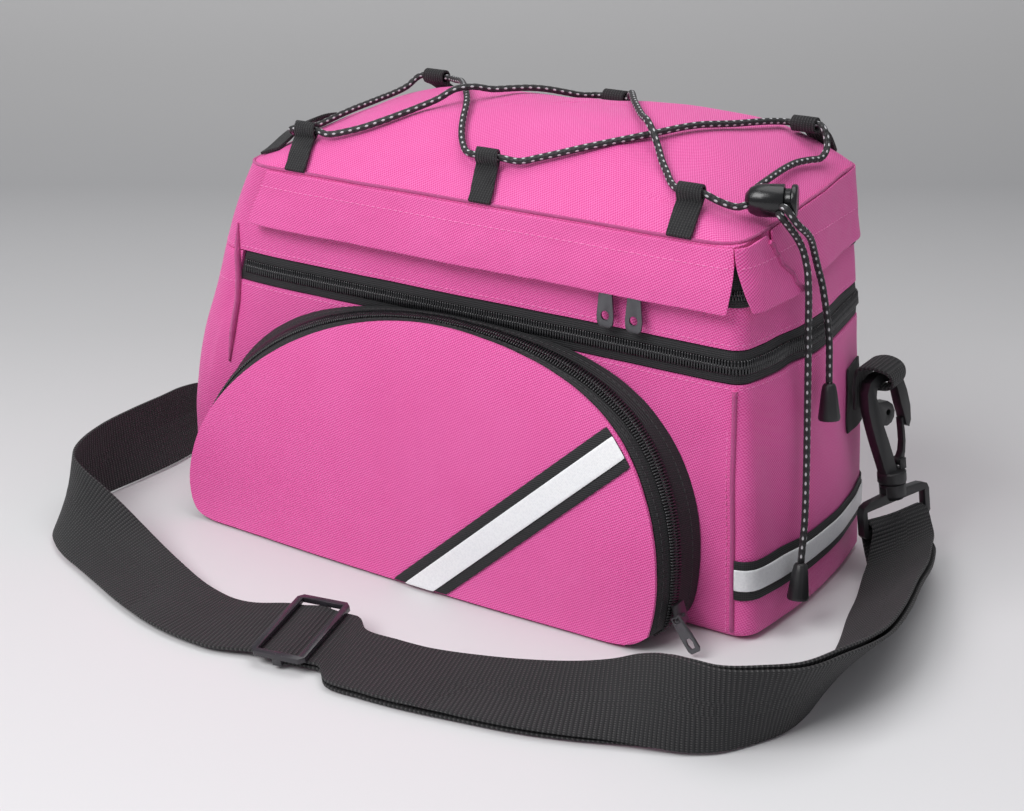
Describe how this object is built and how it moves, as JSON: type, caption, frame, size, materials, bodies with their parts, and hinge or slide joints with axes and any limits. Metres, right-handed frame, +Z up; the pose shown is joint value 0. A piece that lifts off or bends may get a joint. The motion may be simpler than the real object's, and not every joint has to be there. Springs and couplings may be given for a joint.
{
  "type": "bicycle rack trunk bag",
  "caption": "Padded trunk bag for a rear bicycle rack, with a zipped lid, a half-round front pocket, an elastic lacing cord on top and a shoulder strap on swivel hooks.",
  "frame": {"origin": "middle of the bag's flat underside, on the surface that the bag stands on", "axes": "+X along the bag's length towards the end with the cord lock, +Y from the pocket side to the plain back, +Z up"},
  "size_m": [0.4983, 0.3011, 0.246],
  "materials": {
    "pink_cloth": "coarse diagonal weave, slight sheen",
    "black_webbing": "ribbed webbing",
    "zip_tape": "fine black tape with a nylon coil",
    "silver_reflector": "reflective tape",
    "black_cord": "braided elastic cord with light tracers",
    "black_plastic": "satin moulded plastic",
    "dark_metal": "gunmetal coating"
  },
  "bodies": {
    "bag": {"body_shell": "pink_cloth", "lid_shell": "pink_cloth", "main_zip_band": "zip_tape", "lid_zip_tape": "zip_tape", "storm_flap_front": "pink_cloth", "storm_flap_corner": "pink_cloth", "storm_flap_right": "pink_cloth", "storm_flap_back": "pink_cloth", "pocket_face": "pink_cloth", "pocket_zip_gusset": "zip_tape", "pocket_floor": "pink_cloth", "pocket_stripe_edge": "zip_tape", "pocket_stripe": "silver_reflector", "end_stripe_edge": "zip_tape", "end_stripe": "silver_reflector", "cord_loop_front_left": "black_webbing", "cord_loop_front_mid": "black_webbing", "cord_loop_front_right": "black_webbing", "cord_loop_back_left": "black_webbing", "cord_loop_back_mid": "black_webbing", "cord_loop_back_right": "black_webbing", "lacing_cord": "black_cord", "cord_tail_long": "black_cord", "cord_tail_short": "black_cord", "bell_end_long": "black_plastic", "bell_end_short": "black_plastic", "cord_lock_barrel": "black_plastic", "lid_slider_left": "dark_metal", "lid_slider_right": "dark_metal", "pocket_slider": "dark_metal", "end_patch_right": "black_webbing", "end_patch_left": "black_webbing", "hook_carrier_right": "black_webbing", "hook_carrier_left": "black_webbing", "hook_body_right": "black_plastic", "hook_body_left": "black_plastic", "swivel_base_right": "black_plastic", "swivel_base_left": "black_plastic", "strap_right": "black_webbing", "strap_left": "black_webbing", "strap_buckle": "black_plastic", "end_strip": "black_webbing"},
    "gate_right": {"hook_gate_right": "black_plastic"},
    "gate_left": {"hook_gate_left": "black_plastic"},
    "lock_plunger": {"cord_lock_plunger": "black_plastic"},
    "lid_tab_left": {"lid_pull_tab_left": "dark_metal"},
    "lid_tab_right": {"lid_pull_tab_right": "dark_metal"},
    "pocket_tab": {"pocket_pull_tab": "dark_metal"}
  },
  "joints": [
    {"name": "gate_right_hinge", "type": "hinge", "parent": "bag", "child": "gate_right", "pos_m": [0.20759, 0.06037, 0.05764], "axis": [0.9307, -0.3388, 0.1378], "range_deg": [0, 18], "stiffness_Nm_per_rad": 0.004, "springref_deg": -17.19},
    {"name": "gate_left_hinge", "type": "hinge", "parent": "bag", "child": "gate_left", "pos_m": [-0.20687, 0.04087, 0.05764], "axis": [0.9307, 0.3388, -0.1378], "range_deg": [0, 18], "stiffness_Nm_per_rad": 0.004, "springref_deg": -17.19},
    {"name": "lock_plunger_slide", "type": "slide", "parent": "bag", "child": "lock_plunger", "axis": [-0.9446, -0.3259, -0.04], "range_m": [0, 0.003], "stiffness_N_per_m": 400, "springref_m": -0.003},
    {"name": "lid_tab_left_hinge", "type": "hinge", "parent": "bag", "child": "lid_tab_left", "pos_m": [0.1035, -0.07395, 0.1766], "axis": [1, 0, 0], "range_deg": [-7, 5]},
    {"name": "lid_tab_right_hinge", "type": "hinge", "parent": "bag", "child": "lid_tab_right", "pos_m": [0.1193, -0.07395, 0.1766], "axis": [1, 0, 0], "range_deg": [-7, 5]},
    {"name": "pocket_tab_hinge", "type": "hinge", "parent": "bag", "child": "pocket_tab", "pos_m": [0.15959, -0.0955, 0.0179], "axis": [0.7909, 0, 0.6119], "range_deg": [-35, 20]}
  ]
}
